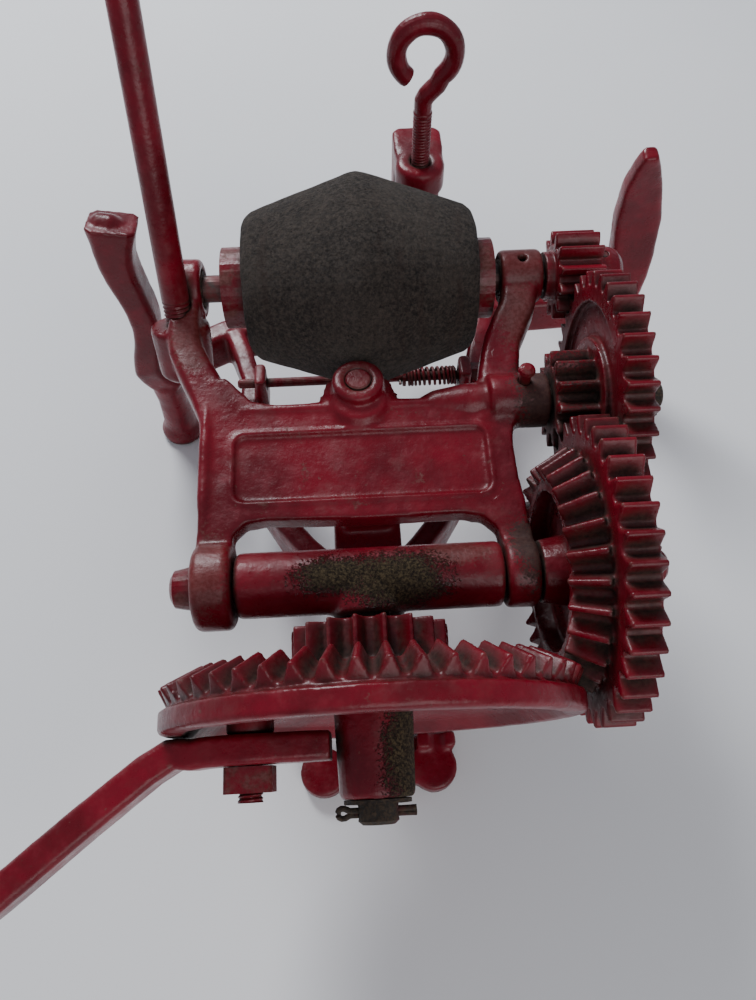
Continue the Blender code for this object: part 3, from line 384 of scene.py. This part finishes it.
def thread(start, direction, length, radius, pitch, depth, segments):
    """A screw thread: a helical ridge on a core, cut off square at both ends."""
    axis = Vector(direction).normalized()
    side = axis.orthogonal().normalized()
    other = axis.cross(side)
    rings = int(length / pitch * 8)
    loops = []
    for k in range(rings + 1):
        along = length * k / rings
        loop = []
        for i in range(segments):
            angle = 2 * pi * i / segments
            phase = (along / pitch - i / segments) % 1.0
            lift = 1 - abs(2 * phase - 1)
            fade = min(1.0, along / pitch, (length - along) / pitch)
            r = radius - depth * (1 - lift) * max(fade, 0.0)
            out = cos(angle) * side + sin(angle) * other
            loop.append((Vector(start) + axis * along + r * out) * INCH)
        loops.append(loop)
    return skin(loops)


def merged(name, shapes):
    whole = bmesh.new()
    for shape in shapes:
        mesh = bpy.data.meshes.new("part")
        shape.to_mesh(mesh)
        shape.free()
        whole.from_mesh(mesh)
        bpy.data.meshes.remove(mesh)
    return add_mesh(name, whole)


def smooth_all(item, angle):
    item.data.shade_smooth()
    item.data.set_sharp_from_angle(angle=radians(angle))


def dress(item, node, material):
    """The piece stands for a CAD node and moves with its body."""
    item.data.materials.clear()
    item.data.materials.append(material)
    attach(item, BODY_OF[node])
    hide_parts(node)


LUMPS_PER_METRE = 130.0


def casting(node, voxel, rounds, keep, material, extras, lump):
    """Remake a CAD node as a casting: soft edges, fillets in the corners, an uneven skin."""
    copy = bmesh.new()
    copy.from_mesh(NODES[node].data)
    item = merged(node + "_casting", [copy] + extras)
    melt = item.modifiers.new("melt", "REMESH")
    melt.mode = "VOXEL"
    melt.voxel_size = voxel
    soften = item.modifiers.new("soften", "SMOOTH")
    soften.factor = 0.5
    soften.iterations = rounds
    thin = item.modifiers.new("thin", "DECIMATE")
    thin.ratio = keep
    bake(item)
    outward = [v.normal.copy() for v in item.data.vertices]
    for v, normal in zip(item.data.vertices, outward):
        v.co += normal * lump * noise.noise(v.co * LUMPS_PER_METRE)
    item.data.shade_smooth()
    dress(item, node, material)
    return item


def refine(node, material, width):
    """Keep a CAD node, break its sharp edges and give it its finish."""
    item = NODES[node]
    soft = item.modifiers.new("edges", "BEVEL")
    soft.width = width
    soft.segments = 2
    soft.limit_method = "ANGLE"
    soft.angle_limit = radians(32)
    item.data.materials.clear()
    item.data.materials.append(material)


# ---------------------------------------------------------------- finishes
CRANK_CENTRE = Vector((CRANK_X, 0, HINGE_Z))
hub_side = CRANK_CENTRE + HUB_OUT * 2.7
hub_dirt = (hub_side.x + 0.42, hub_side.y, hub_side.z + 0.2)
base_paint = red_paint(
    "base_paint",
    chaff=[((0.22, -0.22, HINGE_Z + 0.45), (0.72, 0.42, 0.42)),
           ((-0.62, -0.12, HINGE_Z + 0.5), (0.62, 0.26, 0.30))],
    bare=[((1.2, 0.2, HINGE_Z + 0.5), (0.5, 0.25, 0.3))])
bush_low, bush_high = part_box("right_bearing_bush")
bearing = (bush_low + bush_high) / 2 / INCH
head_paint = red_paint(
    "head_paint", wear=1.15,
    bare=[((-2.70, 0.0, HINGE_Z + 0.55), (0.42, 0.75, 0.5)),
          ((-3.15, 4.5, HINGE_Z + 1.0), (0.35, 0.7, 0.6)),
          ((bearing.x, bearing.y, bearing.z + 0.4), (0.6, 0.6, 0.4)),
          ((bearing.x - 0.2, bearing.y - 1.1, bearing.z + 0.2), (0.4, 0.7, 0.5)),
          ((-0.19, 3.36, 6.6), (0.3, 0.3, 0.25))],
    grease=[((2.9, 3.0, 6.2), (0.45, 0.8, 0.8)), ((2.4, 0.2, 5.9), (0.35, 0.6, 0.6))])
gear_paint = red_paint("gear_paint", wear=1.3, shade_and_grime_strength=1.35, reach=0.008,
                       grease=[((3.45, 3.075, 6.155), (0.42, 0.95, 0.95))])
crank_paint = red_paint("crank_paint", wear=1.3, shade_and_grime_strength=1.2, reach=0.008,
                        chaff=[(hub_dirt, (0.30, 1.0, 0.75))])
plain_paint = red_paint("plain_paint")
steel = old_steel("stained_steel")
iron = greasy_iron("greasy_iron_dark")
stone_look = grit("grit_stone")
wood = old_wood("turned_wood")

# ---------------------------------------------------------------- castings
head_slope = (STONE[1] - HINGE_Z) / STONE[0]
u_dir = Vector((0, 1, head_slope)).normalized()
n_dir = Vector((0, -u_dir.z, u_dir.y))


def on_head(x, t, w):
    return Vector((x, 0, HINGE_Z)) + u_dir * t + n_dir * w


def rounded_loop(x0, x1, t0, t1, w, corner, steps=6):
    out = []
    for cx, ct, first in ((x1 - corner, t1 - corner, 0), (x0 + corner, t1 - corner, 90),
                          (x0 + corner, t0 + corner, 180), (x1 - corner, t0 + corner, 270)):
        for i in range(steps + 1):
            a = radians(first + 90 * i / steps)
            out.append(on_head(cx + corner * cos(a), ct + corner * sin(a), w))
    return out


border = tube(rounded_loop(-2.36, 1.96, 1.30, 2.60, 0.262, 0.22), 0.048, 10, closed=True)
edge_left = tube([on_head(-2.82, t, 0.24) for t in (0.7, 1.0, 1.5, 2.0, 2.5, 3.0, 3.3)],
                 [0.03, 0.08, 0.11, 0.11, 0.11, 0.08, 0.03], 12)
edge_back = tube([on_head(x, 3.06, 0.23) for x in (-2.5, -2.2, -1.6, -0.9, -0.2, 0.5, 1.2, 1.7, 2.0)],
                 [0.02, 0.06, 0.09, 0.10, 0.10, 0.10, 0.09, 0.06, 0.02], 12)
skirt_steps = [(0, 0.72), (0.07, 0.60), (0.15, 0.52), (0.24, 0.44)]
boss_skirt = lathe(on_head(-0.19, 3.16, 0.16), n_dir, skirt_steps, 32)
LEAN = radians(24.5)
rod_dir = Vector((0, sin(LEAN), cos(LEAN)))
rod_top = Vector((-3.42, 5.09, HINGE_Z + 0.58))
stud_steps = [(0, 0.14), (0.25, 0.26), (0.80, 0.36), (1.70, 0.39)]
stud_boss = lathe((0.85, 3.08, 6.13), (1, 0, 0), stud_steps, 32)
collar_steps = [(0, 0.36), (0.12, 0.44), (0.56, 0.47), (0.62, 0.44)]
rod_collar = lathe(rod_top - rod_dir * 0.62, rod_dir, collar_steps, 32)
head_extras = [border, edge_left, edge_back, boss_skirt, stud_boss, rod_collar]
casting("head_frame", 0.00085, 14, 0.5, head_paint, head_extras, lump=0.00014)

# the left horn: a flared top, and a waist that leans to the right
HORN_LOW, HORN_HIGH = 2.3, 6.2
HORN_SIDE = -4.3
HORN_LEAN = 0.40
horn_top = [(-4.70, 7.50, 6.32), (-4.92, 7.52, 6.46), (-5.14, 7.54, 6.50), (-5.28, 7.54, 6.46)]
horn_flare = tube(horn_top, [0.24, 0.30, 0.29, 0.18], 16)
base = casting("base_frame", 0.00105, 12, 0.5, base_paint, [horn_flare], lump=0.00014)
for v in base.data.vertices:
    height = (v.co.z / INCH - HORN_LOW) / (HORN_HIGH - HORN_LOW)
    if v.co.x < HORN_SIDE * INCH and 0 < height < 1:
        v.co.x += HORN_LEAN * INCH * sin(pi * height) ** 2
rim_section = [(1.97, 3.158), (2.20, 3.162), (2.25, 3.135), (2.27, 3.08), (2.27, 2.90), (1.97, 2.90)]
rim = hoop(CRANK_CENTRE, HUB_OUT, rim_section, 240)
casting("crank_gear", 0.00075, 4, 0.40, crank_paint, [rim], lump=0.00010)
casting("compound_gear", 0.00070, 2, 0.45, gear_paint, [], lump=0.00010)
casting("intermediate_gear", 0.00065, 2, 0.45, gear_paint, [], lump=0.00008)
casting("stone_pinion", 0.00055, 2, 0.6, plain_paint, [], lump=0.00006)
casting("crank_arm", 0.00080, 3, 0.6, plain_paint, [], lump=0.00010)
casting("grindstone", 0.00080, 3, 0.6, stone_look, [], lump=0.00022)

# ---------------------------------------------------------------- threaded and wire pieces
rod_start = rod_top - rod_dir * 0.788
rod = merged("handle_rod_round", [
    thread(rod_start, rod_dir, 1.25, 0.25, 1 / 13, 0.030, 24),
    lathe(rod_start + rod_dir * 1.22, rod_dir, [
        (0.0, 0.235), (0.06, 0.25), (3.0, 0.25), (6.0, 0.25), (9.0, 0.25),
        (12.16, 0.25), (12.25, 0.20), (12.28, 0.10)], 32),
])
smooth_all(rod, 50)
dress(rod, "handle_rod", plain_paint)

JAW_Z = 6.45
EYE_R = 0.52
screw_low = (CLAMP[0], CLAMP[1], JAW_Z - 0.078)
EYE_Z = JAW_Z + 2.75
eye_path = [Vector((CLAMP[0], CLAMP[1], EYE_Z - up)) for up in (1.10, 0.98, 0.88)]
for out, below in ((0.05, 0.78), (0.14, 0.68), (0.24, 0.58)):
    eye_path.append(Vector((CLAMP[0] + out, CLAMP[1], EYE_Z - below)))
for k in range(37):
    angle = radians(-52 + 288 * k / 36)
    eye_path.append(Vector((CLAMP[0] + EYE_R * cos(angle), CLAMP[1], EYE_Z + EYE_R * sin(angle))))
radii = [0.165 + min(k, 5) * 0.003 + 0.004 * sin(k * 0.9) for k in range(len(eye_path) - 1)] + [0.165]
eye = merged("eye_bolt_forged", [
    lathe(screw_low, (0, 0, 1), [(0, 0.11), (0.03, 0.13), (0.09, 0.13), (0.12, 0.16)], 20),
    thread((CLAMP[0], CLAMP[1], JAW_Z + 0.03), (0, 0, 1), 1.62, 0.1875, 1 / 16, 0.032, 20),
    tube(eye_path, radii, 16),
])
melt = eye.modifiers.new("melt", "REMESH")
melt.mode = "VOXEL"
melt.voxel_size = 0.00034
soft = eye.modifiers.new("soften", "SMOOTH")
soft.iterations = 1
bake(eye)
smooth_all(eye, 60)
dress(eye, "eye_bolt", plain_paint)

# the spring, a round wire wound close at both ends
SPRING_WIRE = 0.034
SPRING_COIL = 0.185
SPRING_AXIS = (6.15, 3.15)
spring_low, spring_high = 0.942 + SPRING_WIRE, 2.108 - SPRING_WIRE
path = []
TURNS = 12
for k in range(TURNS * 24 + 1):
    t = k / (TURNS * 24)
    ease = t - 0.05 * sin(2 * pi * t)
    a = 2 * pi * TURNS * t
    across = (SPRING_AXIS[0] + SPRING_COIL * cos(a), SPRING_AXIS[1] + SPRING_COIL * sin(a))
    path.append((spring_low + (spring_high - spring_low) * ease, *across))
spring = merged("return_spring_coil", [tube(path, SPRING_WIRE, 8)])
smooth_all(spring, 60)
dress(spring, "return_spring", plain_paint)


def split_pin(name, node, centre, along, radius, reach, spread, material):
    """A bent split pin: two half-round legs, an eye at one end, the tails opened out."""
    centre = Vector(centre)
    along = Vector(along).normalized()
    side = along.orthogonal().normalized()
    half = radius * 0.52
    shapes = []
    for sign in (-1, 1):
        leg = [centre + along * (reach + 0.05) + side * sign * radius * 0.30]
        leg += [centre + along * (reach + out) + side * sign * radius * wide
                for out, wide in ((0.035, 0.75), (0.0, 1.0), (-0.05, 0.95), (-0.09, 0.65))]
        leg.append(centre + along * (reach - 0.13) + side * sign * half * 0.85)
        leg.append(centre - along * (reach - 0.04) + side * sign * half * 0.85)
        leg.append(centre - along * (reach + 0.02) + side * sign * spread * 0.35)
        shapes.append(tube(leg, half, 10))
    pin = merged(name, shapes)
    smooth_all(pin, 60)
    dress(pin, node, material)


stud_pin = CRANK_CENTRE + HUB_OUT * 3.46
split_pin("crank_stud_split_pin", "crank_stud_cotter", stud_pin, (-1, 0, 0),
          0.085, 0.54, 0.12, iron)
split_pin("hinge_shaft_split_pin", "hinge_shaft_cotter", (4.40, 0, HINGE_Z), (0, 0.2, 1),
          0.062, 0.40, 0.10, steel)
split_pin("gear_stud_split_pin", "gear_stud_cotter", (4.95, STUD[0], STUD[1]), (0, 1, 0.3),
          0.062, 0.36, 0.10, iron)

# arm bolt with a threaded end; its square nut is the CAD node arm_nut, carried over below
bolt_axis = Vector((CRANK_X - 1.86, 0, HINGE_Z))
bolt_start = bolt_axis + HUB_OUT * 1.238
bolt = merged("arm_bolt_threaded", [
    lathe(bolt_start, HUB_OUT, [(0, 0.22), (0.04, 0.28), (0.20, 0.28), (0.20, 0.1875), (1.15, 0.1875)], 24),
    thread(bolt_start + HUB_OUT * 1.14, HUB_OUT, 0.86, 0.1875, 1 / 16, 0.030, 20),
])
smooth_all(bolt, 40)
dress(bolt, "arm_bolt", plain_paint)

# ---------------------------------------------------------------- carried-over CAD nodes
for look, widths in (
    (plain_paint, {"arm_nut": 0.0011, "hinge_shaft": 0.0007, "spring_rod": 0.0003,
                   "spring_seat_washer": 0.0003, "spring_rod_nut": 0.0006, "left_flange": 0.0012,
                   "right_flange": 0.0012, "centre_pin": 0.0006, "stud_lock_pin": 0.0004}),
    (iron, {"hinge_shaft_washer": 0.0005, "crank_stud": 0.0006, "crank_washer": 0.0004,
            "left_bearing_bush": 0.0003, "right_bearing_bush": 0.0003, "gear_stud": 0.0005,
            "gear_stud_washer": 0.0003}),
    (steel, {"spring_seat_pin": 0.0002, "clamp_shoe": 0.0004, "handle_pin": 0.0005,
             "stone_shaft": 0.0004, "pinion_cross_pin": 0.0002}),
    (wood, {"wood_grip": 0.0005}),
):
    for name, width in widths.items():
        refine(name, look, width)

# ---------------------------------------------------------------- floor, light and camera
floor_shape = bmesh.new()
bmesh.ops.create_grid(floor_shape, x_segments=8, y_segments=8, size=15.0)
floor = add_mesh("floor", floor_shape)
pale = Shader("pale_floor")
cloud = pale.step(pale.noise(2.0), 0.3, 0.7)
pale.finish(pale.mix(cloud, (0.80, 0.80, 0.81), (0.84, 0.836, 0.836)), 0.85)
floor.data.materials.append(pale.material)

world = bpy.data.worlds.new("studio")
bpy.context.scene.world = world
world.use_nodes = True
sky = world.node_tree.nodes["Background"]
sky.inputs["Color"].default_value = (0.80, 0.86, 1.0, 1.0)
sky.inputs["Strength"].default_value = 0.34


def soft_light(name, place, target, size, power, colour):
    data = bpy.data.lights.new(name, "AREA")
    data.shape = "DISK"
    data.size = size
    data.energy = power
    data.color = colour
    lamp = bpy.data.objects.new(name, data)
    bpy.context.scene.collection.objects.link(lamp)
    lamp.location = place
    lamp.rotation_euler = (Vector(target) - Vector(place)).to_track_quat("-Z", "Y").to_euler()


soft_light("window", (-0.62, 1.55, 1.45), (0, 0.25, 0.1), 0.8, 42.0, (0.93, 0.96, 1.0))
soft_light("fill", (0.5, -1.4, 1.2), (0, 0.0, 0.1), 1.6, 15.0, (1.0, 0.98, 0.97))

camera_data = bpy.data.cameras.new("camera")
camera_data.lens = 28.49
camera_data.sensor_width = 36.0
camera_data.clip_start = 0.01
camera = bpy.data.objects.new("camera", camera_data)
bpy.context.scene.collection.objects.link(camera)
PITCH, YAW, ROLL = radians(59.81), radians(3.10), radians(-0.06)
camera.location = inch(-0.315, -5.267, 17.296)
ahead = Vector((cos(PITCH) * sin(YAW), cos(PITCH) * cos(YAW), -sin(PITCH)))
level = ahead.to_track_quat("-Z", "Y").to_matrix()
camera.rotation_euler = (level @ Matrix.Rotation(ROLL, 3, "Z")).to_euler()
bpy.context.scene.camera = camera

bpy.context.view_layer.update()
